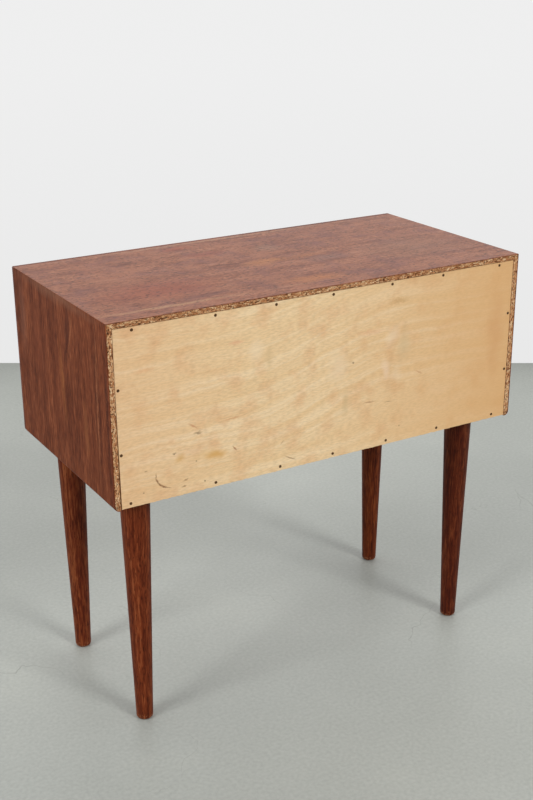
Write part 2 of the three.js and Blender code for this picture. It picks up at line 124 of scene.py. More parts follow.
def painted_concrete():
    """Floor paint on concrete: cloudy greys with a satin gloss, dark specks and hairline cracks."""
    material, tree, point = surface("floor_paint_on_concrete")
    cloudy = {"Vector": point, "Scale": 1 / CLOUD_SIZE, "Detail": 5.0, "Roughness": 0.55}
    clouds = node(tree, "TexNoise", cloudy)
    greys = [(0.3, "#a5a8a2"), (0.55, "#aaada7"), (0.75, "#afb2ab")]
    colour = node(tree, "ValToRGB", [clouds], stops=greys)
    grit = node(tree, "TexNoise", {"Vector": point, "Scale": 1 / GRIT_SIZE, "Detail": 4.0})
    mottle = node(tree, "ValToRGB", [grit], stops=[(0.3, 0.86), (0.7, 1.0)])
    dirt = node(tree, "TexVoronoi", {"Vector": point, "Scale": 1 / SPECK_SPACING, "Randomness": 1.0})
    specks = node(tree, "ValToRGB", [dirt], stops=[(0.008, 0.25), (0.016, 1.0)])
    # The cracks run along the edges of large cells that a slower noise has bent, where it is cloudy.
    swirl = node(tree, "TexNoise", {"Vector": point, "Scale": 1 / 120, "Detail": 4.0}).outputs["Color"]
    sway = (CRACK_SWAY, CRACK_SWAY, 0)
    bent = node(tree, "VectorMath", [swirl, sway, point], operation="MULTIPLY_ADD")
    cells = {"Vector": bent, "Scale": 1 / CRACK_SPACING}
    web = node(tree, "TexVoronoi", cells, feature="DISTANCE_TO_EDGE")
    thin = {"Value": web, "From Min": 0.0022, "From Max": 0.0009, "To Max": 0.4}
    crack = node(tree, "MapRange", thin)
    here = node(tree, "MapRange", {"Value": clouds, "From Min": 0.5, "From Max": 0.62})
    cracks = node(tree, "Math", [crack, here], operation="MULTIPLY")
    for dark in (mottle, specks):
        colour = over(tree, 1.0, colour, dark, "MULTIPLY")
    bump = node(tree, "Bump", {"Height": grit, "Strength": 0.2, "Distance": 0.0004})
    colour = over(tree, cracks, colour, "#6d6d66")
    shade(tree, {"Base Color": colour, "Roughness": 0.42, "Specular IOR Level": 0.3, "Normal": bump})
    return material


# The floor's far edge is the foot of the wall, which runs askew to the table.
WALL_FOOT = (Vector((-77, -1360)), Vector((-1135, -707)))
FLOOR_SIDE = 9000
along_wall = (WALL_FOOT[1] - WALL_FOOT[0]).normalized()
from_wall = Vector((-along_wall.y, along_wall.x))
if from_wall.dot(WALL_FOOT[0]) > 0:
    from_wall = -from_wall
corners = [
    WALL_FOOT[0] + along_wall * (a * FLOOR_SIDE / 2) + from_wall * (b * FLOOR_SIDE)
    for a, b in ((-1, 0), (1, 0), (1, 1), (-1, 1))
]
mesh = bpy.data.meshes.new("floor")
mesh.from_pydata([(c.x * MM, c.y * MM, 0) for c in corners], [], [(0, 1, 2, 3)])
floor = bpy.data.objects.new("floor", mesh)
mesh.materials.append(painted_concrete())
bpy.context.collection.objects.link(floor)

# The room gives an even dim light. The lit wall is a little darker towards its foot.
ROOM_LIGHT = 0.5
ROOM_GLOSS = 0.3
WALL_WHITE = 0.86
WALL_FOOT_SHADE = 0.92
world = bpy.data.worlds.new("white_room")
world.use_nodes = True
tree = world.node_tree
tree.nodes.clear()
rays = node(tree, "LightPath").outputs
height = node(tree, "SeparateXYZ", [node(tree, "TexCoord").outputs["Generated"]]).outputs["Z"]
dim = {"Value": height, "From Min": -0.42, "From Max": -0.1, "To Min": WALL_FOOT_SHADE}
shade_low = node(tree, "MapRange", dim, clamp=True)
wall_seen = node(tree, "Math", [shade_low, WALL_WHITE], operation="MULTIPLY")
lit = node(tree, "Mix", [rays["Is Glossy Ray"], ROOM_LIGHT, ROOM_GLOSS])
strength = node(tree, "Mix", [rays["Is Camera Ray"], lit, wall_seen])
node(tree, "OutputWorld", [node(tree, "Background", {"Color": "#ffffff", "Strength": strength})])
bpy.context.scene.world = world


def softbox(name, place, target, size, watts):
    """A softbox, its place in metres, aimed at a target."""
    data = bpy.data.lights.new(name, "AREA")
    data.shape = "RECTANGLE"
    data.size, data.size_y = size
    data.energy = watts
    lamp = bpy.data.objects.new(name, data)
    lamp.location = place
    lamp.rotation_mode = "QUATERNION"
    lamp.rotation_quaternion = (Vector(target) - lamp.location).to_track_quat("-Z", "Y")
    lamp.visible_camera = False
    bpy.context.collection.objects.link(lamp)


CASE_CENTRE = (0, 0, 0.3)
SOFTBOX_SIZE = (2.8, 2.8)
softbox("softbox_right", (-2.6, 8.9, 6.7), CASE_CENTRE, SOFTBOX_SIZE, 560)
softbox("softbox_left", (6.9, 1.5, 5.2), CASE_CENTRE, SOFTBOX_SIZE, 330)
# The lit wall throws light back on the floor and the table.
WALL_SIZE = (8.0, 2.4)
WALL_LOW = 0.2  # the dimmer part near the floor is left out
middle = WALL_FOOT[0] - along_wall * WALL_FOOT[0].dot(along_wall)
wall_place = Vector((middle.x * MM, middle.y * MM, WALL_LOW + WALL_SIZE[1] / 2))
wall_facing = Vector((from_wall.x, from_wall.y, 0))
wall_watts = WALL_WHITE * math.pi * WALL_SIZE[0] * WALL_SIZE[1]
softbox("lit_wall", wall_place, wall_place + wall_facing, WALL_SIZE, wall_watts)

CAMERA_PLACE = Vector((817.3, 1368.4, 970.3)) * MM
CAMERA_HEADING = math.radians(149.31)
CAMERA_TILT = math.radians(20.87)
CAMERA_ROLL = math.radians(-0.32)
CAMERA_LENS = 55.94
away = math.cos(CAMERA_TILT)
back = Vector((math.sin(CAMERA_HEADING) * away, -math.cos(CAMERA_HEADING) * away, math.sin(CAMERA_TILT)))
level = Vector((0, 0, 1)).cross(back).normalized()
right = Matrix.Rotation(CAMERA_ROLL, 3, back) @ level
up = back.cross(right)
camera_data = bpy.data.cameras.new("camera")
camera_data.sensor_width = 36
camera_data.lens = CAMERA_LENS
camera = bpy.data.objects.new("camera", camera_data)
turned = Matrix((right, up, back)).transposed().to_4x4()
camera.matrix_world = Matrix.Translation(CAMERA_PLACE) @ turned
bpy.context.collection.objects.link(camera)
bpy.context.scene.camera = camera
bpy.context.scene.view_settings.view_transform = "Standard"

# --------------------------------------------------------------------------------------------------
# Case boards: 16 mm particle board with teak veneer glued to both faces, mitred at the corners.
# The front edges are lipped, and at the back the sawn particle board shows outside the plywood.
# --------------------------------------------------------------------------------------------------


def piece(name, verts, faces, material, body, slot, smooth=None):
    """A piece from points in millimetres. Edges sharper than the angle smooth, in degrees, stay crisp."""
    mesh = bpy.data.meshes.new(name)
    mesh.from_pydata([Vector(v) * MM for v in verts], [], faces)
    cleaned = bmesh.new()
    cleaned.from_mesh(mesh)
    bmesh.ops.remove_doubles(cleaned, verts=cleaned.verts, dist=1e-7)
    bmesh.ops.recalc_face_normals(cleaned, faces=cleaned.faces)
    cleaned.to_mesh(mesh)
    cleaned.free()
    if smooth is not None:
        mesh.shade_smooth()
        mesh.set_sharp_from_angle(angle=math.radians(smooth))
    mesh.materials.append(material)
    made = bpy.data.objects.new(name, mesh)
    bpy.context.collection.objects.link(made)
    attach(made, body)
    return made


BROAD_MARK = 5.0  # half width from which a mark has a loose outline
WIDEST_STRAY = 18.0  # how far that outline may wander


def marked(tree, point, colour, plane, marks):
    """Lays soft-edged marks over a colour, in one plane.

    Each mark is its place along the plane's two axes, its half length and half width in millimetres,
    its slope in degrees, its colour and its strength. Its outline wanders by about its width.
    """
    if not marks:
        return colour
    fine = node(tree, "TexNoise", {"Vector": point, "Scale": 1 / 4, "Detail": 3.0}).outputs["Color"]
    broad = node(tree, "TexNoise", {"Vector": point, "Scale": 1 / 24, "Detail": 5.0}).outputs["Color"]
    first_axis, second_axis = ("XYZ".index(a) for a in plane)
    turn_axis = 3 - first_axis - second_axis
    for along, across, length, width, slope, tint, amount in marks:
        narrow = min(length, width)
        stray = min(WIDEST_STRAY, 2.2 * narrow)
        stir = broad if narrow > BROAD_MARK else fine
        pushed = node(tree, "VectorMath", [stir, (stray,) * 3, point], operation="MULTIPLY_ADD")
        place, turn, size = [stray / 2] * 3, [0.0] * 3, [9999.0] * 3
        place[first_axis] += along
        place[second_axis] += across
        turn[turn_axis] = math.radians(-slope if plane == "XZ" else slope)
        size[first_axis], size[second_axis] = length, width
        settings = {"Vector": pushed, "Location": place, "Rotation": turn, "Scale": size}
        fitted = node(tree, "Mapping", settings, vector_type="TEXTURE")
        reach = node(tree, "VectorMath", [fitted], operation="LENGTH")
        soft = {"Value": reach, "From Min": 1.0, "From Max": 0.2, "To Max": amount}
        colour = over(tree, node(tree, "MapRange", soft), colour, tint)
    return colour


WOOD_SWAY = 7.0  # how far the grain wanders
FADED_SIZE = 38  # of the patches that age has left
GLOSS_SPREAD = 0.08  # between a wood's early and late growth


def wood(
    name,
    along,
    colours,
    figure,
    streak,
    fibre,
    pore,
    gloss,
    shine=0.5,
    pores=0.3,
    seed=0.0,
    plane="XY",
    marks=(),
    faded=(),
    wear=None,
):
    """Wood with its grain along one axis. figure, streak, fibre and pore are (across, along) in mm.

    colours runs from the darkest to the lightest. marks lie in the plane. gloss is the roughness and
    shine the shader's specular level. faded gives the colours of the patches that age has left.
    wear lays something more over the finished colour.
    """
    material, tree, point = surface(name)
    axis = "XYZ".index(along)
    seeded = node(tree, "VectorMath", [point, (seed, seed * 1.7, seed * 0.6)], operation="ADD")
    sway = node(tree, "TexNoise", {"Vector": seeded, "Scale": 1 / 90, "Detail": 2.0})
    across = tuple(0.0 if i == axis else WOOD_SWAY for i in range(3))
    drifted = node(tree, "VectorMath", [sway.outputs["Color"], across, seeded], operation="MULTIPLY_ADD")
    layers = []
    for (width, length), detail in ((figure, 3.0), (streak, 4.0), (fibre, 3.0), (pore, 1.0)):
        squeeze = tuple(1 / length if i == axis else 1 / width for i in range(3))
        fitted = node(tree, "VectorMath", [drifted, squeeze], operation="MULTIPLY")
        layers.append(node(tree, "TexNoise", {"Vector": fitted, "Scale": 1.0, "Detail": detail}))
    blend = node(tree, "Mix", [0.5, layers[0], layers[1]])
    blend = node(tree, "Mix", [0.45, blend, layers[2]])
    steps = [(0.4 + 0.2 * i / (len(colours) - 1), c) for i, c in enumerate(colours)]
    colour = node(tree, "ValToRGB", [blend], stops=steps)
    for i, tint in enumerate(faded):
        moved = node(tree, "VectorMath", [seeded, (400.0 * i, 90.0, 0.0)], operation="ADD")
        ragged = {"Vector": moved, "Scale": 1 / FADED_SIZE, "Detail": 6.0, "Roughness": 0.65}
        patch = node(tree, "TexNoise", ragged)
        there = {"Value": patch, "From Min": 0.47, "From Max": 0.66, "To Max": 0.8}
        colour = over(tree, node(tree, "MapRange", there), colour, tint)
    colour = marked(tree, point, colour, plane, marks)
    open_pore = node(tree, "ValToRGB", [layers[3]], stops=[(0.3, 1.0 - pores), (0.42, 1.0)])
    dull = {"Value": layers[1], "To Min": gloss + GLOSS_SPREAD, "To Max": gloss - GLOSS_SPREAD}
    rough = node(tree, "MapRange", dull)
    bump = node(tree, "Bump", {"Height": open_pore, "Strength": 0.3, "Distance": 0.0001})
    colour = over(tree, 1.0, colour, open_pore, "MULTIPLY")
    if wear:
        colour = wear(tree, point, colour)
    shade(tree, {"Base Color": colour, "Roughness": rough, "Specular IOR Level": shine, "Normal": bump})
    return material


# Oiled teak veneer, knife-cut and sanded: a red-brown with fine straight streaks. The top has a soft
# sheen from waxing, and faded and worn patches. The upright faces are darker than the top, and have a
# drier finish. Pores are drawn coarser than teak's 0.3 mm, so that they still show from across a room.
veneer_across = wood(
    "waxed_teak_veneer_lengthways",
    "X",
    ["#6c3a28", "#7f4932", "#90583c", "#a56c50"],
    figure=(20, 140),
    streak=(3.0, 32),
    fibre=(2.4, 6),
    pore=(2.2, 5),
    gloss=0.48,
    pores=0.62,
    shine=0.2,
    faded=["#7a4a40", "#9a6146"],
    marks=[
        (205, 122, 125, 6.5, 0, "#bc9068", 0.5),
        (30, 122, 60, 2.0, 0, "#b2835c", 0.5),
        (150, 104, 50, 8, 1, "#663a34", 0.6),
        (-5, 108, 50, 17, -4, "#b4703d", 0.6),
        (8, 5, 44, 17, 4, "#b4733f", 0.6),
        (-55, 6, 34, 10, 0, "#a2643a", 0.6),
        (190, 55, 100, 52, 0, "#8f452a", 0.65),
        (60, -70, 44, 16, 3, "#8a4632", 0.6),
        (-70, 30, 44, 18, 0, "#7f5a50", 0.6),
        (-30, -58, 26, 22, 0, "#8a6552", 0.6),
        (-200, 40, 100, 70, 2, "#875c46", 0.5),
        (80, -118, 30, 12, 0, "#9a4a30", 0.5),
        (0, -138, 290, 6, 0, "#a87e64", 0.6),
    ],
)
veneer_upright = wood(
    "oiled_teak_veneer_upright",
    "Z",
    ["#56250f", "#683119", "#7a3d22", "#8f5030"],
    figure=(16, 120),
    streak=(2.6, 45),
    fibre=(1.6, 14),
    pore=(1.5, 9),
    gloss=0.6,
    shine=0.1,
    seed=311.0,
    plane="YZ",
    marks=[
        (6, 452, 9, 68, 3, "#8f5029", 0.65),
        (9, 450, 1.6, 60, 3, "#a3683c", 0.45),
        (26, 498, 5, 26, -18, "#431b0f", 0.8),
        (32, 525, 9, 30, -16, "#4c2114", 0.5),
        (40, 518, 1.8, 40, -17, "#a06440", 0.7),
        (74, 405, 9, 48, 0, "#8b5330", 0.5),
        (113, 446, 1.8, 125, -1.8, "#a56c4a", 0.6),
        (119, 446, 3.5, 118, -1.8, "#4a2010", 0.55),
        (107, 446, 3.0, 118, -1.8, "#4a2010", 0.4),
        (141, 446, 5, 120, -1.0, "#43190c", 0.75),
        (-70, 470, 20, 60, 4, "#7c3f26", 0.5),
        (-20, 420, 12, 50, 2, "#6d3319", 0.5),
        (-120, 500, 16, 60, 0, "#7c5140", 0.4),
        # A paler greyish band along the top edge: a painted sheen.
        (0, 556, 150, 10, 0, "#875c46", 0.5),
    ],
)


CHIP_LENGTH, CHIP_THICKNESS = 3.6, 1.2


def particle_board(name, along, tones, marks=()):
    """Sawn particle board: tan and brown chips lying in the board's plane, with dark gaps between.

    tones runs from the darkest to the lightest. marks lie in the XZ plane.
    """
    material, tree, point = surface(name)
    axis = "XYZ".index(along)
    chip = tuple(1 / CHIP_LENGTH if i == axis else 1 / CHIP_THICKNESS for i in range(3))
    wobble = node(tree, "TexNoise", {"Vector": point, "Scale": 1 / 3, "Detail": 2.0})
    bent = node(tree, "VectorMath", [wobble.outputs["Color"], 2.0], operation="SCALE")
    moved = node(tree, "VectorMath", [point, bent], operation="ADD")
    fitted = node(tree, "VectorMath", [moved, chip], operation="MULTIPLY")
    cells = node(tree, "TexVoronoi", {"Vector": fitted, "Scale": 1.0})
    pick = node(tree, "SeparateColor", [cells.outputs["Color"]])
    shares = (0.0, 0.2, 0.5, 0.8, 1.0)
    colour = node(tree, "ValToRGB", [pick], stops=list(zip(shares, tones)))
    rim = node(tree, "TexVoronoi", {"Vector": fitted, "Scale": 1.0}, feature="DISTANCE_TO_EDGE")
    gap = node(tree, "ValToRGB", [rim], stops=[(0.0, 0.55), (0.1, 1.0)])
    holes = node(tree, "TexNoise", {"Vector": point, "Scale": 1 / 2.2, "Detail": 2.0})
    torn = node(tree, "ValToRGB", [holes], stops=[(0.34, 0.12), (0.45, 1.0)])
    for dark in (gap, torn):
        colour = over(tree, 0.85, colour, dark, "MULTIPLY")
    colour = marked(tree, point, colour, "XZ", marks)
    bump = node(tree, "Bump", {"Height": gap, "Strength": 0.6, "Distance": 0.0005})
    shade(tree, {"Base Color": colour, "Roughness": 0.85, "Specular IOR Level": 0.15, "Normal": bump})
    return material


# Spruce chips bound with glue. Those on the side boards are fresher, and darker at the case's corners.
CHIPS = ["#66391f", "#a66e44", "#b98056", "#cfa073", "#e8c298"]
FRESH_CHIPS = ["#74422a", "#b67c50", "#cc9567", "#dcb083", "#eccaa0"]
chips_across = particle_board("sawn_particle_board_lengthways", "X", CHIPS)
chips_upright = particle_board(
    "sawn_particle_board_upright",
    "Z",
    FRESH_CHIPS,
    marks=[
        (297, 332, 5.0, 4.5, 0, "#4c2c1b", 0.75),
        (-297, 331, 4.0, 4.0, 0, "#2c1a12", 0.95),
        (-298, 558, 2.5, 2.5, 0, "#35201a", 0.8),
    ],
)

top_low, top_high = (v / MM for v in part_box("top_panel"))
left_low, left_high = (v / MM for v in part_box("left_side_panel"))
right_low, right_high = (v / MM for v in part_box("right_side_panel"))
bottom_low, bottom_high = (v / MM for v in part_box("bottom_panel"))
ply_low, ply_high = (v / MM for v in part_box("back_panel"))

VENEER = 1.0
LIP = 7.5  # left outside the rebate
REBATE_CLEARANCE = 0.3  # between the rebate's floor and the plywood
JOINT_GAP = 0.1  # at each mitre
TOP_ROUND = 1.2
BOTTOM_ROUND = 6.0
ROUND_STEPS = 6
thickness = top_high.z - top_low.z
case_width = right_high.x - left_low.x
case_height = top_high.z - bottom_low.z
case_middle = (top_high.z + bottom_low.z) / 2
board_front, board_back = top_low.y, ply_high.y
rebate_face = ply_low.y - REBATE_CLEARANCE


def face_line(half, start_round, end_round, depth):
    """Points (along, below) of a board's outer face at a depth under it, from one mitre to the other."""

    def half_line(rounding):
        inner = rounding - depth
        if inner <= 0.05:
            return [(half - depth - JOINT_GAP, depth)]
        centre = half - rounding - JOINT_GAP
        turns = [math.radians(-90 + 45 * i / ROUND_STEPS) for i in range(ROUND_STEPS + 1)]
        return [(centre + inner * math.cos(t), rounding + inner * math.sin(t)) for t in turns]

    start = [(-u, v) for u, v in half_line(start_round)][::-1]
    return start + half_line(end_round)


def board_section(half, start_round, end_round, top, under):
    """The mitred section of one layer of a board, from depth top to depth under."""
    reach = half - under - JOINT_GAP
    return face_line(half, start_round, end_round, top) + [(reach, under), (-reach, under)]


def loft(rings, closed=True):
    """Walls between rings of points, and a face over each end."""
    count = len(rings[0])
    verts = [p for ring in rings for p in ring]
    faces = []
    for r in range(len(rings) - 1):
        for i in range(count):
            a, b = r * count + i, r * count + (i + 1) % count
            faces.append((a, b, b + count, a + count))
    if closed:
        faces.append(tuple(range(count)))
        faces.append(tuple(range(len(verts) - count, len(verts))))
    return verts, faces


def grid_slab(front, rear):
    """A closed slab between two grids of points with the same rows and columns."""
    rows, columns = len(front), len(front[0])
    verts = [p for row in front for p in row] + [p for row in rear for p in row]
    offset = rows * columns
    faces = []
    for r in range(rows - 1):
        for c in range(columns - 1):
            a = r * columns + c
            quad = (a, a + 1, a + columns + 1, a + columns)
            faces.append(quad)
            faces.append(tuple(i + offset for i in reversed(quad)))
    rim = [c for c in range(columns)]
    rim += [r * columns + columns - 1 for r in range(1, rows)]
    rim += [(rows - 1) * columns + c for c in range(columns - 2, -1, -1)]
    rim += [r * columns for r in range(rows - 2, 0, -1)]
    for a, b in zip(rim, rim[1:] + rim[:1]):
        faces.append((a, b, b + offset, a + offset))
    return verts, faces


# Each board: half its length, the rounding at its two ends, and where (along, below its face) lies.
boards = {
    "top": (case_width / 2, TOP_ROUND, TOP_ROUND, lambda u, v: (u, top_high.z - v)),
    "bottom": (case_width / 2, BOTTOM_ROUND, BOTTOM_ROUND, lambda u, v: (-u, bottom_low.z + v)),
    "left_side": (case_height / 2, BOTTOM_ROUND, TOP_ROUND, lambda u, v: (left_low.x + v, case_middle + u)),
    "right_side": (
        case_height / 2,
        TOP_ROUND,
        BOTTOM_ROUND,
        lambda u, v: (right_high.x - v, case_middle - u),
    ),
}
EDGE_DEPTH = 2.0  # of the finely modelled sawn edge
CHIP_STEP = 0.7
CHIP_RELIEF = 0.55


def resampled(line, step):
    """The points of a polyline, spread evenly."""
    lengths = [math.dist(a, b) for a, b in zip(line, line[1:])]
    total = sum(lengths)
    count = max(2, round(total / step))
    out = []
    for i in range(count + 1):
        rest = total * i / count
        for (a, b), length in zip(zip(line, line[1:]), lengths):
            if rest <= length or (a, b) == (line[-2], line[-1]):
                t = min(1.0, rest / length)
                out.append((a[0] + (b[0] - a[0]) * t, a[1] + (b[1] - a[1]) * t))
                break
            rest -= length
    return out


def sawn_edge(half, start_round, end_round, place):
    """The back edge between veneer and rebate, with chips standing out and torn out of it."""
    outer = resampled(face_line(half, start_round, end_round, VENEER), CHIP_STEP)
    reach = half - LIP - JOINT_GAP
    count = len(outer) - 1
    inner = [(-reach + 2 * reach * i / count, LIP) for i in range(count + 1)]
    rows = round((LIP - VENEER) / CHIP_STEP)
    front, rear = [], []
    for r in range(rows + 1):
        t = r / rows
        line = [(a[0] + (b[0] - a[0]) * t, a[1] + (b[1] - a[1]) * t) for a, b in zip(outer, inner)]
        places = [place(u, v) for u, v in line]
        row = []
        for x, z in places:
            rough = noise.noise(Vector((x, 0, z)) / 1.7) + 0.6 * noise.noise(Vector((x, 5, z)) / 0.8)
            torn = max(0.0, noise.noise(Vector((x, 9, z)) / 3.2) - 0.28) * 2.2
            sunk = min(1.0, max(0.0, 0.3 + 0.35 * rough) + torn) * CHIP_RELIEF
            if r in (0, rows):
                sunk = min(1.0, sunk * 1.3)
            row.append((x, board_back - sunk, z))
        front.append(row)
        rear.append([(x, board_back - EDGE_DEPTH, z) for x, z in places])
    return grid_slab(front, rear)


nut_places = [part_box(n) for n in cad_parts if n.endswith("_flanged_nut")]
nut_places = [((low + high) / 2 / MM) for low, high in nut_places]
NUT_HOLE = 5.9
CUTTER = 40  # larger than the board is thick


def cut_bottom(board):
    """Saws the rebate off the bottom board's rear edge and bores the holes for the flanged nuts."""
    cutter = bmesh.new()
    size = Vector((case_width - 2 * LIP, CUTTER, CUTTER)) * MM
    middle = Vector((0, rebate_face + CUTTER / 2, bottom_low.z)) * MM
    bmesh.ops.create_cube(cutter, size=1, matrix=Matrix.Translation(middle) @ Matrix.Diagonal((*size, 1)))
    for place in nut_places:
        where = Matrix.Translation(Vector((place.x, place.y, bottom_low.z + thickness / 2)) * MM)
        hole = {"radius1": NUT_HOLE * MM, "radius2": NUT_HOLE * MM, "depth": CUTTER * MM}
        bmesh.ops.create_cone(cutter, cap_ends=True, segments=32, matrix=where, **hole)
    mesh = bpy.data.meshes.new("cutter")
    cutter.to_mesh(mesh)
    tool = bpy.data.objects.new("cutter", mesh)
    bpy.context.collection.objects.link(tool)
    saw = board.modifiers.new("saw", "BOOLEAN")
    saw.object = tool
    saw.solver = "EXACT"
    bpy.context.view_layer.update()
    shaped = bpy.data.meshes.new_from_object(board.evaluated_get(bpy.context.evaluated_depsgraph_get()))
    board.modifiers.clear()
    board.data = shaped
    bpy.data.objects.remove(tool)


for name, (half, start_round, end_round, place) in boards.items():
    flat = name in ("top", "bottom")
    chips = chips_across if flat else chips_upright
    veneer = veneer_across if flat else veneer_upright

    def ring(section, y):
        return [(x, y, z) for x, z in (place(u, v) for u, v in section)]

    core = board_section(half, start_round, end_round, VENEER, thickness - VENEER)
    lip = board_section(half, start_round, end_round, VENEER, LIP)
    skin, glued = (face_line(half, start_round, end_round, depth) for depth in (0.0, VENEER))
    outer = skin + glued[::-1]
    inner = board_section(half, 0.0, 0.0, thickness - VENEER, thickness)
    if name == "bottom":
        core_rings = [ring(core, board_front), ring(core, board_back)]
        inner_back = board_back
    else:
        core_rings = [ring(core, board_front), ring(core, rebate_face)]
        core_rings += [ring(lip, rebate_face), ring(lip, board_back - EDGE_DEPTH)]
        inner_back = rebate_face
    core_piece = piece(f"{name}_core", *loft(core_rings), chips, "case", "plywood", smooth=30)
    sheet = loft([ring(outer, board_front), ring(outer, board_back)])
    outer_piece = piece(f"{name}_outer_veneer", *sheet, veneer, "case", "teak_veneer", smooth=30)
    sheet = loft([ring(inner, board_front), ring(inner, inner_back)])
    inner_piece = piece(f"{name}_inner_veneer", *sheet, veneer, "case", "teak_veneer")
    if name == "bottom":
        for board in (core_piece, outer_piece, inner_piece):
            cut_bottom(board)
    else:
        edge = sawn_edge(half, start_round, end_round, place)
        piece(f"{name}_sawn_edge", *edge, chips, "case", "plywood", smooth=50)
    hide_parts(f"{name}_panel")

# --------------------------------------------------------------------------------------------------
# Back panel: 4 mm three-ply sheet, rotary cut, pale and unfinished, sawn a little rough at the edges.
# It lies in the rebate and has buckled slightly along the columns of nails.
# --------------------------------------------------------------------------------------------------

PLY_STEP = 2.2
PLY_SUNK = 0.8  # the flat sheet's face below the board's edge
PLY_SHORT = 1.3  # how far one end is sawn out of square
PLY_TRUE = 0.7  # the share of its height above which that end fits
BUCKLE_ROOM = 0.05  # always left between the sheet's face and the board's edge
GROWTH_CLIMB = (140.0, -100.0)  # the growth lines climb between these places
BUCKLES = [  # (x, height up the panel, width, reach up and down, how far out)
    (-92, 150, 9, 42, 0.55),
    (-88, 95, 8, 36, 0.6),
    (-20, 120, 26, 80, 0.35),
    (98, 150, 24, 60, 0.3),
    (-150, 110, 60, 90, -0.35),
    (40, 70, 50, 60, -0.25),
    (190, 120, 80, 90, 0.2),
]


def buckle(x, z):
    """How far the sheet stands out at a point, z counted from its lower edge."""
    out = 0.12 * noise.noise(Vector((x / 120, z / 80, 3)))
    for centre, height, width, reach, depth in BUCKLES:
        out += depth * math.exp(-(((x - centre) / width) ** 2) - ((z - height) / reach) ** 2)
    return min(out, PLY_SUNK - BUCKLE_ROOM)


def plywood(name, hill, lines=()):
    """Rotary-cut pale plywood: soft wavy growth lines and short fibres.

    hill is how far the growth lines climb. lines are the heights of the clearest of them.
    """
    material, tree, point = surface(name)
    parts = node(tree, "SeparateXYZ", [point]).outputs
    slow = node(tree, "TexNoise", {"Vector": point, "Scale": 1 / 60, "Detail": 2.0})
    slope = {"Value": parts["X"], "From Min": GROWTH_CLIMB[0], "From Max": GROWTH_CLIMB[1]}
    rise = node(tree, "MapRange", slope, interpolation_type="SMOOTHSTEP")
    high = {"Value": parts["Z"], "From Min": 340.0, "From Max": 410.0, "To Min": 8.0, "To Max": hill}
    hump = node(tree, "Math", [rise, node(tree, "MapRange", high)], operation="MULTIPLY")
    lifted = node(tree, "Math", [parts["Z"], hump], operation="SUBTRACT")
    ring = node(tree, "Math", [slow, 16.0, lifted], operation="MULTIPLY_ADD")
    lying = node(tree, "CombineXYZ", [parts["X"], ring, 0.0])
    fitted = node(tree, "VectorMath", [lying, (1 / 300, 1 / 9, 0)], operation="MULTIPLY")
    rings = node(tree, "TexNoise", {"Vector": fitted, "Scale": 1.0, "Detail": 4.0})
    tones = [(0.3, "#ebc795"), (0.5, "#efce9f"), (0.62, "#f3d5a9"), (0.67, "#f5d8ae")]
    colour = node(tree, "ValToRGB", [rings], stops=tones + [(0.72, "#f2d2a7")])
    blush = node(tree, "TexNoise", {"Vector": point, "Scale": 1 / 28, "Detail": 5.0})
    patchy = {"Value": blush, "From Min": 0.6, "From Max": 0.4, "To Min": 0.06, "To Max": 0.3}
    clear = node(tree, "MapRange", patchy)
    for height in lines:
        away = node(tree, "Math", [ring, height + 8.0], operation="SUBTRACT")
        size = node(tree, "Math", [away], operation="ABSOLUTE")
        thin = node(tree, "MapRange", {"Value": size, "From Min": 2.6, "From Max": 0.0})
        broken = node(tree, "Math", [thin, clear], operation="MULTIPLY")
        colour = over(tree, broken, colour, "#fbe6c4")
    warm = node(tree, "MapRange", {"Value": blush, "From Min": 0.5, "From Max": 0.72, "To Max": 0.45})
    colour = over(tree, warm, colour, "#dba371")
    fine = node(tree, "VectorMath", [point, (1 / 7, 1 / 3, 1 / 1.7)], operation="MULTIPLY")
    fibres = node(tree, "TexNoise", {"Vector": fine, "Scale": 1.0, "Detail": 3.0})
    hair = node(tree, "ValToRGB", [fibres], stops=[(0.3, 0.8), (0.62, 1.0)])
    return material, tree, point, parts, over(tree, 0.85, colour, hair, "MULTIPLY"), hair


CLEAN_RIM = 2.0  # the marks' heights are counted from this far above the sheet's lower edge
OUTER_PLY = 2.0  # from the board's edge in to the middle ply


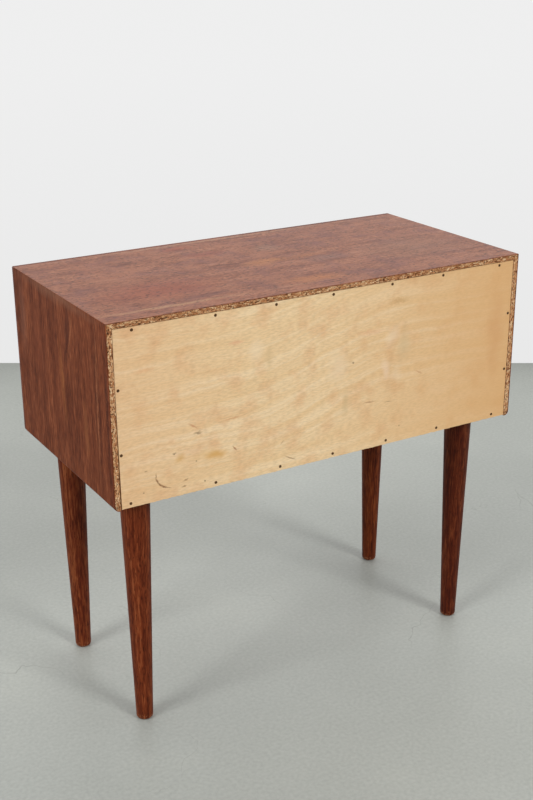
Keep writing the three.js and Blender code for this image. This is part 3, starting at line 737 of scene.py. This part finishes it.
def bare_back_ply():
    """The back panel's own ply: darker to the ends, with scratches, rubbed marks, a yellow stain,
    and painted highlights and painted shade on its buckles.
    """
    lines = [ply_low.z + h for h in (32, 57, 74, 95, 130)]
    material, tree, point, parts, colour, hair = plywood("bare_limba_plywood", 52.0, lines)
    for start, end, amount, tint in ((20.0, -290.0, 0.8, "#d9a66c"), (120.0, 290.0, 0.3, "#dca372")):
        fade = {"Value": parts["X"], "From Min": start, "From Max": end, "To Max": amount}
        colour = over(tree, node(tree, "MapRange", fade), colour, tint)
    foot = ply_low.z + CLEAN_RIM
    marks = [
        (163, foot + 38, 20, 8, -4, "#d39a42", 0.7),
        (175, foot + 42, 30, 10, 6, "#d8a860", 0.4),
        (213, foot + 46, 10, 7, 0, "#cf9842", 0.5),
        (206, foot + 17, 4.5, 1.6, -20, "#9a6f48", 0.75),
        (208, foot + 9, 4, 1.6, -10, "#8a5f3a", 0.75),
        (188, foot + 74, 7, 2.6, 0, "#8a6e4c", 0.8),
        (194, foot + 84, 10, 1.4, 35, "#c88a60", 0.75),
        (140, foot + 83, 18, 1.3, -4, "#cf9468", 0.7),
        (220, foot + 54, 2.6, 1.8, 0, "#7d5f40", 0.85),
        (191, foot + 38, 1.7, 1.5, 0, "#7d6444", 0.7),
        (180, foot + 9, 1.5, 1.5, 0, "#5c3f24", 0.9),
        (258, foot + 40, 3, 1.0, 0, "#9a7650", 0.8),
        (262, foot + 13, 1.4, 1.2, 0, "#7d5a38", 0.8),
        (138, foot + 43, 6, 1.3, 50, "#a8714a", 0.85),
        (70, foot + 36, 5, 1.3, -40, "#b88a62", 0.6),
        (58, foot + 12, 11, 1.2, 28, "#8f6642", 0.8),
        (-35, foot + 122, 1.8, 1.6, 0, "#7a5c3e", 0.9),
        (-62, foot + 63, 13, 1.3, 4, "#ad7a52", 0.75),
        (-92, foot + 58, 8, 1.1, 6, "#a07a54", 0.6),
        (-140, foot + 90, 9, 1.3, 30, "#c08558", 0.65),
        (-111, foot + 20, 1.6, 1.4, 0, "#7d5430", 0.7),
        # Paler patches where the buckles face the light, and greyer ones beside them: painted highlights
        # and painted shade.
        (-24, foot + 68, 7, 24, 0, "#cdb083", 0.5),
        (-114, foot + 133, 14, 32, 0, "#cfb68c", 0.45),
        (-94, foot + 148, 11, 17, 25, "#f3dcbc", 0.45),
        (-87, foot + 103, 8, 18, -10, "#f0d5b8", 0.45),
        (-104, foot + 95, 11, 14, -20, "#ecd0ac", 0.4),
        (-12, foot + 122, 20, 30, 0, "#f0dab8", 0.4),
        (88, foot + 150, 7, 24, 0, "#cdae80", 0.45),
        (106, foot + 164, 12, 22, 10, "#f3dcba", 0.4),
        (134, foot + 178, 12, 4, 0, "#dc9c78", 0.5),
        (-60, foot + 158, 26, 5, 4, "#dfa67c", 0.45),
        (255, foot + 165, 18, 4, -3, "#dfa877", 0.5),
        (-105, foot + 193, 20, 5, 0, "#bf9258", 0.5),
        (-268, foot + 120, 16, 80, 0, "#cf9560", 0.4),
    ]
    # One curved scratch, from a slip with something sharp.
    scratch = [(245, 34), (245.5, 27), (242, 20.5), (238, 16.5), (232, 13), (226, 11.5)]
    depths = (0.75, 0.9, 1.0, 1.0, 0.6)
    for (x, z), (next_x, next_z), depth in zip(scratch, scratch[1:], depths):
        slope = math.degrees(math.atan2(next_z - z, next_x - x))
        reach = 0.8 * math.dist((x, z), (next_x, next_z))
        x, z = (x + next_x) / 2, (z + next_z) / 2
        marks.append((x, foot + z, reach, 1.5 * depth, slope, "#85552f", depth))
    colour = marked(tree, point, colour, "XZ", marks)
    # The inner plies show on the sawn edges as a darker line.
    inside = node(tree, "Math", [parts["Y"], ply_high.y - OUTER_PLY], operation="LESS_THAN")
    colour = over(tree, inside, colour, "#a8753f")
    bump = node(tree, "Bump", {"Height": hair, "Strength": 0.15, "Distance": 0.0001})
    shade(tree, {"Base Color": colour, "Roughness": 0.55, "Normal": bump})
    return material


ply_width, ply_height = ply_high.x - ply_low.x, ply_high.z - ply_low.z
columns, rows = round(ply_width / PLY_STEP), round(ply_height / PLY_STEP)
front, rear = [], []
for r in range(rows + 1):
    front_row, rear_row = [], []
    for c in range(columns + 1):
        x = ply_low.x + ply_width * c / columns
        z = ply_low.z + ply_height * r / rows
        if r == 0:
            z += max(0.0, 0.3 + 0.7 * noise.noise(Vector((x / 6, 0, 1))))
        if c == columns:
            short = PLY_SHORT * max(0.0, 1 - r / rows / PLY_TRUE)
            x -= max(0.0, short + 0.25 * noise.noise(Vector((z / 9, 0, 2))))
        stand = ply_high.y - PLY_SUNK + buckle(x, z - ply_low.z)
        front_row.append((x, stand, z))
        rear_row.append((x, ply_low.y, z))
    front.append(front_row)
    rear.append(rear_row)
sheet = grid_slab(front, rear)
back_panel = piece("plywood_back", *sheet, bare_back_ply(), "case", "plywood", smooth=40)
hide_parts("back_panel")

# Panel pins: 3.8 mm flat heads of blued steel, gone dull brown, driven through the ply into the boards.
# They stand in a row along the top and the bottom, with two down each side.
PIN_HEAD = 1.9
PIN_SHANK = 0.7
PIN_LENGTH = 20
PIN_SIDES = 20
TOP_PINS = (268, 161, 78, -4, -93, -174, -268)
BOTTOM_PINS = (279, 165, 73, -6, -90, -174, -270)
SIDE_PINS = (150, 70)  # above the case's underside
PIN_INSET = (11.9, 6.6, 11.8)  # from the case's top, from its underside, and from its sides


def pointed(verts, place, direction):
    """Points that stand upright at the origin, moved to a place and turned to a direction."""
    turned = {
        "Z": lambda x, y, z: (x, y, z),
        "Y": lambda x, y, z: (x, z, -y),
        "-Y": lambda x, y, z: (x, -z, y),
        "X": lambda x, y, z: (z, y, -x),
        "-X": lambda x, y, z: (-z, y, x),
    }[direction]
    return [tuple(a + b for a, b in zip(place, turned(*v))) for v in verts]


def lathe(profile, sides, axis_point, direction="Z"):
    """A turned solid from (radius, height) points that start and end on the axis."""
    verts, faces, rows = [], [], []
    for radius, height in profile:
        if radius < 1e-6:
            rows.append([len(verts)])
            verts.append((0, 0, height))
            continue
        rows.append(list(range(len(verts), len(verts) + sides)))
        for i in range(sides):
            turn = 2 * math.pi * i / sides
            verts.append((radius * math.cos(turn), radius * math.sin(turn), height))
    for low, high in zip(rows, rows[1:]):
        for i in range(sides):
            j = (i + 1) % sides
            if len(low) == 1:
                faces.append((low[0], high[j], high[i]))
            elif len(high) == 1:
                faces.append((low[i], low[j], high[0]))
            else:
                faces.append((low[i], low[j], high[j], high[i]))
    return pointed(verts, axis_point, direction), faces


def metal(name, colour, patch, roughness, grain):
    """A bare or plated metal with blotches of a second tone, which are duller or brighter."""
    material, tree, point = surface(name)
    blotch = node(tree, "TexNoise", {"Vector": point, "Scale": 1 / grain, "Detail": 4.0})
    tone = node(tree, "ValToRGB", [blotch], stops=[(0.38, colour), (0.62, patch)])
    worn = node(tree, "MapRange", {"Value": blotch, "To Min": roughness - 0.12, "To Max": roughness + 0.12})
    shade(tree, {"Base Color": tone, "Metallic": 1.0, "Roughness": worn})
    return material


# Blued steel, dull and browned: nearly black with a rusty tone.
pin_steel = metal("browned_blued_steel", "#5a4334", "#7d5d40", 0.6, 1.2)
# Zinc-plated steel: a cool pale grey with a soft crystalline bloom.
zinc = metal("zinc_plated_steel", "#b9bab6", "#9fa09b", 0.38, 2.5)

pins = [(x, top_high.z - PIN_INSET[0]) for x in TOP_PINS]
pins += [(x, bottom_low.z + PIN_INSET[1]) for x in BOTTOM_PINS]
side_x = case_width / 2 - PIN_INSET[2]
pins += [(side * side_x, bottom_low.z + h) for side in (1, -1) for h in SIDE_PINS]
for i, (x, z) in enumerate(pins):
    face = ply_high.y - PLY_SUNK + buckle(x, z - ply_low.z)
    profile = [
        (0, -PIN_LENGTH),
        (PIN_SHANK, -PIN_LENGTH + 2),
        (PIN_SHANK, -0.3),
        (PIN_HEAD - 0.2, -0.1),
        (PIN_HEAD, 0.05),
        (PIN_HEAD - 0.1, 0.25),
        (PIN_HEAD * 0.6, 0.36),
        (0, 0.4),
    ]
    shape = lathe(profile, PIN_SIDES, (x, face, z), "Y")
    piece(f"panel_pin_{i + 1:02d}", *shape, pin_steel, "case", "zinc_steel", smooth=40)

# --------------------------------------------------------------------------------------------------
# Front lippings: strips of solid teak, planed square and glued over the boards' front edges.
# They hide the particle board there, and are mitred like the boards.
# --------------------------------------------------------------------------------------------------


def finished(name, material, edge=0.4):
    """Gives a node of the frame its finish, and takes the sharpness off its edges."""
    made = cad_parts[name]
    weld = made.modifiers.new("joined_faces", "WELD")
    weld.merge_threshold = 0.00001
    ease = made.modifiers.new("eased_edges", "BEVEL")
    ease.width = edge * MM
    ease.segments = 2
    ease.limit_method = "ANGLE"
    ease.angle_limit = math.radians(40)
    ease.use_clamp_overlap = True
    for material_slot in made.material_slots:
        material_slot.material = material


# Oiled solid teak: a deeper red-brown than the veneer, with fine dark pores along the grain.
SOLID_TEAK = {
    "colours": ["#4c1d0d", "#622a15", "#76381f", "#8c4b2c"],
    "fibre": (1.4, 16),
    "pore": (1.2, 8),
    "gloss": 0.5,
    "shine": 0.2,
}
teak_lengthways = wood(
    "oiled_teak_lengthways", "X", figure=(14, 200), streak=(2.5, 60), seed=37.0, **SOLID_TEAK
)
teak_upright = wood(
    "oiled_teak_upright", "Z", figure=(12, 200), streak=(2.2, 60), seed=71.0, **SOLID_TEAK
)
for name in ("top_lipping", "bottom_lipping"):
    finished(name, teak_lengthways)
for name in ("left_lipping", "right_lipping"):
    finished(name, teak_upright)

# --------------------------------------------------------------------------------------------------
# Legs: solid teak, turned to a straight taper with a rounded foot, and oiled.
# A hanger bolt in the top of each runs up into a flanged nut in the case's bottom.
# --------------------------------------------------------------------------------------------------

LEG_SIDES = 72
LEG_STEP = 6.0
FOOT_RADIUS = 11.0
FOOT_ROUND = 4.5
SHOULDER_CHAMFER = 0.8
TOOL_WAVE = 0.06  # left along the taper by the turning tool
BOLT_BORE = 4.3
BOLT_BORE_DEPTH = 38.3


def rubbed_foot(tree, point, colour):
    """Oil and colour rubbed off in a ragged ring round the foot."""
    patch = node(tree, "TexNoise", {"Vector": point, "Scale": 0.3, "Detail": 3.0})
    ragged = {"Value": patch, "From Min": 0.3, "From Max": 0.7, "To Min": -3.0, "To Max": 9.0}
    uneven = node(tree, "MapRange", ragged)
    height = node(tree, "SeparateXYZ", [point]).outputs["Z"]
    edge = node(tree, "Math", [height, uneven], operation="SUBTRACT")
    rubbed = node(tree, "MapRange", {"Value": edge, "From Min": 2.0, "From Max": 0.0, "To Max": 0.5})
    return over(tree, rubbed, colour, "#9b6a4a")


# Each leg is its own piece of wood, and the two at one end are darker.
LEG_TONES = {
    "back_right": ["#4f1c09", "#602812", "#723318", "#884727"],
    "front_right": ["#4a1a0a", "#5e2612", "#70351a", "#864828"],
    "back_left": ["#41160a", "#501d0c", "#5f2a14", "#743a20"],
    "front_left": ["#461a0c", "#59240f", "#6c3014", "#804120"],
}
for corner in ("front_left", "front_right", "back_left", "back_right"):
    low, high = (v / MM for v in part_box(f"{corner}_leg"))
    x, y = (low.x + high.x) / 2, (low.y + high.y) / 2
    head = (high.x - low.x) / 2
    taper = [
        (FOOT_RADIUS - FOOT_ROUND + FOOT_ROUND * math.sin(t), FOOT_ROUND - FOOT_ROUND * math.cos(t))
        for t in (math.radians(15 * i) for i in range(7))
    ]
    rings = round((high.z - FOOT_ROUND) / LEG_STEP)
    shoulder = high.z - SHOULDER_CHAMFER
    for i in range(1, rings + 1):
        t = i / rings
        worked = TOOL_WAVE * noise.noise(Vector((x, y, t * 9)))
        radius = FOOT_RADIUS + (head - FOOT_RADIUS) * t - abs(worked)
        taper.append((radius, FOOT_ROUND + (shoulder - FOOT_ROUND) * t))
    profile = [(0, 0)] + taper + [
        (head - SHOULDER_CHAMFER, high.z),
        (BOLT_BORE, high.z),
        (BOLT_BORE, high.z - BOLT_BORE_DEPTH),
        (0, high.z - BOLT_BORE_DEPTH),
    ]
    # Oiled turned teak: the solid teak of the lippings with a longer figure and deeper pores.
    turned_teak = wood(
        f"oiled_turned_teak_{corner}",
        "Z",
        LEG_TONES[corner],
        figure=(11, 260),
        streak=(3.2, 80),
        fibre=(1.7, 20),
        pore=(1.3, 8),
        gloss=0.5,
        shine=0.1,
        pores=0.5,
        seed=x + y,
        wear=rubbed_foot,
    )
    shape = lathe(profile, LEG_SIDES, (x, y, 0))
    leg = piece(f"{corner}_turned_leg", *shape, turned_teak, "case", "solid_teak", smooth=35)
    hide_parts(f"{corner}_leg")

# Hanger bolts: M8 steel, zinc plated, threaded from end to end.
THREAD_PITCH = 1.25
THREAD_DEPTH = 0.7
THREAD_SIDES = 24
THREAD_STEPS = 8
for corner in ("front_left", "front_right", "back_left", "back_right"):
    low, high = (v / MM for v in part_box(f"{corner}_hanger_bolt"))
    x, y = (low.x + high.x) / 2, (low.y + high.y) / 2
    radius = (high.x - low.x) / 2
    count = round((high.z - low.z) / THREAD_PITCH * THREAD_STEPS)
    rings = []
    for r in range(count + 1):
        z = low.z + (high.z - low.z) * r / count
        near_end = min(1.0, min(z - low.z, high.z - z) / THREAD_PITCH)
        ring = []
        for i in range(THREAD_SIDES):
            turn = i / THREAD_SIDES
            phase = ((z - low.z) / THREAD_PITCH - turn) % 1
            crest = 1 - abs(2 * phase - 1)
            reach = radius - THREAD_DEPTH * (1 - crest * near_end)
            angle = turn * 2 * math.pi
            ring.append((x + reach * math.cos(angle), y + reach * math.sin(angle), z))
        rings.append(ring)
    bolt = piece(f"{corner}_threaded_bolt", *loft(rings), zinc, "case", "zinc_steel", smooth=50)
    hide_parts(f"{corner}_hanger_bolt")
    finished(f"{corner}_flanged_nut", zinc, edge=0.2)

# --------------------------------------------------------------------------------------------------
# Runners: beech strips screwed to the inside of the case, one in the groove of each drawer side.
# Three countersunk slotted screws hold each of them.
# --------------------------------------------------------------------------------------------------

# Beech, planed and lightly lacquered: a pale pinkish tan with short dark flecks.
BEECH = {"colours": ["#c49a6c", "#cfa678", "#d7b083", "#e0bd92"], "pores": 0.16}
BEECH_BOARD = {"figure": (16, 240), "streak": (3, 60), "fibre": (1.2, 12), "pore": (1.0, 4), "gloss": 0.48}
BEECH_DOWEL = {"figure": (8, 120), "streak": (2, 40), "fibre": (1.0, 10), "pore": (0.8, 4), "gloss": 0.45}
beech_deep = wood("lacquered_beech_front_to_back", "Y", seed=19.0, **BEECH, **BEECH_BOARD)
beech_wide = wood("lacquered_beech_side_to_side", "X", seed=53.0, **BEECH, **BEECH_BOARD)
beech_tall = wood("lacquered_beech_upright", "Z", seed=91.0, **BEECH, **BEECH_DOWEL)

SCREW_HEAD = 3.4
SCREW_SLOT = 0.9
SLOT_DEPTH = 0.9
SCREW_PROUD = 0.05  # so that the head doesn't lie in the wood's own face
SCREW_SIDES = 48


def wood_screw(name, place, direction, body, length=14.0):
    """A countersunk slotted wood screw, its head flush with place and facing along direction."""
    profile = [(0, -length), (0.9, -length + 3), (1.4, -length * 0.6), (1.5, -2.2), (SCREW_HEAD, -0.15)]
    # The head's flat is turned in rings, so that the slot has points to sink.
    profile += [(SCREW_HEAD * k, 0.0) for k in (1.0, 0.85, 0.7, 0.55, 0.4, 0.25, 0.12)] + [(0, 0.0)]
    verts, faces = lathe(profile, SCREW_SIDES, (0, 0, 0))
    slotted = []
    for x, y, z in verts:
        inside = abs(x) < SCREW_SLOT / 2 and z > -0.1
        slotted.append((x, y, z - SLOT_DEPTH if inside else z))
    moved = pointed(slotted, place, direction)
    return piece(name, moved, faces, zinc, body, "zinc_steel", smooth=30)


RUNNER_SCREWS = (0.1, 0.5, 0.9)  # along each runner
for level in ("lower", "upper"):
    for side, facing in (("left", "X"), ("right", "-X")):
        name = f"{level}_{side}_runner"
        finished(name, beech_deep, edge=0.8)
        low, high = (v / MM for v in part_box(name))
        face = high.x + SCREW_PROUD if side == "left" else low.x - SCREW_PROUD
        for i, share in enumerate(RUNNER_SCREWS):
            place = (face, low.y + (high.y - low.y) * share, (low.z + high.z) / 2)
            wood_screw(f"{name}_screw_{i + 1}", place, facing, "case")

# --------------------------------------------------------------------------------------------------
# Drawers: veneered fronts, and beech sides dovetailed into them and finger-jointed to the back.
# The bottoms are thin plywood, let into grooves.
# --------------------------------------------------------------------------------------------------


def drawer_ply():
    """Thin birch ply for bottoms: pale and even, with faint growth lines."""
    material, tree, _, _, colour, hair = plywood("sealed_birch_plywood", 20.0)
    bump = node(tree, "Bump", {"Height": hair, "Strength": 0.1, "Distance": 0.0001})
    shade(tree, {"Base Color": colour, "Roughness": 0.5, "Normal": bump})
    return material


bottom_ply = drawer_ply()

# Oiled teak veneer, knife-cut in one length for each front: straight streaks from end to end, and a few
# faded patches.
veneer_fronts = wood(
    "oiled_teak_veneer_fronts",
    "X",
    ["#5d2a15", "#743b22", "#88492b", "#9e6039"],
    figure=(15, 230),
    streak=(2.4, 85),
    fibre=(1.6, 26),
    pore=(1.5, 12),
    gloss=0.5,
    shine=0.2,
    seed=523.0,
    plane="XZ",
    faded=["#7e4a38"],
)


PULL_RINGS = 56
PULL_END = 30.0  # the length over which it thins out
PULL_THIN = 0.16  # the depth left at the very ends, as a share
PULL_WEB = 3.5  # the wood left behind the finger scoop
PULL_SCREW = 0.32  # each screw's place from the middle, as a share of the length


def pull_section(depth, height):
    """The pull's section as (out, up): a lip with a finger scoop under it."""

    def curve(points, steps):
        out = []
        n = len(points) - 1
        for i in range(steps):
            t = i / steps
            u = v = 0.0
            for k, (a, b) in enumerate(points):
                w = math.comb(n, k) * t**k * (1 - t) ** (n - k)
                u, v = u + w * a, v + w * b
            out.append((u, v))
        return out

    nose, web = height * 0.62, PULL_WEB
    section = curve([(0, height), (depth * 0.7, height), (depth, nose + 2)], 10)
    section += curve([(depth, nose + 2), (depth, nose - 2), (depth - 2, nose - 2)], 6)
    section += curve([(depth - 2, nose - 2), (depth - 4, nose + 4), (web, nose + 4), (web, web)], 12)
    section += curve([(web, web), (web - 0.3, 0.8), (web - 1, 0)], 4)
    return section + [(0, 0)]


for drawer in ("lower", "upper"):
    body = f"{drawer}_drawer"
    finished(f"{drawer}_drawer_front", veneer_fronts, edge=0.6)
    for name in ("left_side", "right_side"):
        finished(f"{drawer}_drawer_{name}", beech_deep, edge=0.3)
    finished(f"{drawer}_drawer_back", beech_wide, edge=0.3)
    finished(f"{drawer}_drawer_bottom", bottom_ply, edge=0.2)

    # The pull: solid teak, shaped to a lip with a scoop behind it, and screwed on from inside.
    low, high = (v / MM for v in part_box(f"{drawer}_drawer_pull"))
    length, depth, height = high.x - low.x, high.y - low.y, high.z - low.z
    section = pull_section(depth, height)
    rings = []
    for r in range(PULL_RINGS + 1):
        x = -length / 2 * math.cos(math.pi * r / PULL_RINGS)
        from_end = min(1.0, (length / 2 - abs(x)) / PULL_END)
        share = PULL_THIN + (1 - PULL_THIN) * math.sqrt(1 - (1 - from_end) ** 2)
        rings.append([(x, high.y - u * share, low.z + v) for u, v in section])
    pull = piece(f"{drawer}_shaped_pull", *loft(rings), teak_lengthways, body, "solid_teak", smooth=40)
    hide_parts(f"{drawer}_drawer_pull")
    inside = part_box(f"{drawer}_drawer_front")[1].y / MM
    for i, side in enumerate((-1, 1)):
        place = (side * length * PULL_SCREW, inside + SCREW_PROUD, low.z + height * 0.75)
        wood_screw(f"{drawer}_pull_screw_{i + 1}", place, "Y", body, length=20.0)

# --------------------------------------------------------------------------------------------------
# Upper drawer: a beech board with turned dowel pegs for thread spools, and a divider beside it.
# Two low dividers part the rest, and two ledges carry the tray over them.
# --------------------------------------------------------------------------------------------------

finished("section_divider", beech_deep, edge=0.8)
finished("spool_board", beech_deep, edge=0.5)
for name in ("low_divider_1", "low_divider_2"):
    finished(name, beech_deep, edge=0.5)
for name in ("front_tray_ledge", "back_tray_ledge"):
    finished(name, beech_wide, edge=0.5)

PEG_SIDES = 28
PEG_DOME = 0.6  # the height of its domed end, as a share of its radius
for name in sorted(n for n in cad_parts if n.startswith("spool_peg_")):
    low, high = (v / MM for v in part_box(name))
    radius = (high.x - low.x) / 2
    dome = [
        (radius * math.cos(t), high.z - radius * PEG_DOME * (1 - math.sin(t)))
        for t in (math.radians(15 * i) for i in range(1, 6))
    ]
    profile = [(0, low.z), (radius - 0.4, low.z), (radius, low.z + 0.4)]
    profile += [(radius, high.z - radius * PEG_DOME)] + dome + [(0, high.z)]
    middle = ((low.x + high.x) / 2, (low.y + high.y) / 2, 0)
    shape = lathe(profile, PEG_SIDES, middle)
    peg = piece(f"turned_{name}", *shape, beech_tall, "upper_drawer", "beech", smooth=40)
    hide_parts(name)

# --------------------------------------------------------------------------------------------------
# Tray: thin beech walls finger-jointed at the corners round a ply bottom, with two dividers.
# It slides along the ledges over the low compartments.
# --------------------------------------------------------------------------------------------------

for name in ("tray_left_wall", "tray_right_wall", "tray_long_divider"):
    finished(name, beech_deep, edge=0.4)
for name in ("tray_front_wall", "tray_back_wall", "tray_cross_divider"):
    finished(name, beech_wide, edge=0.4)
finished("tray_bottom", bottom_ply, edge=0.2)
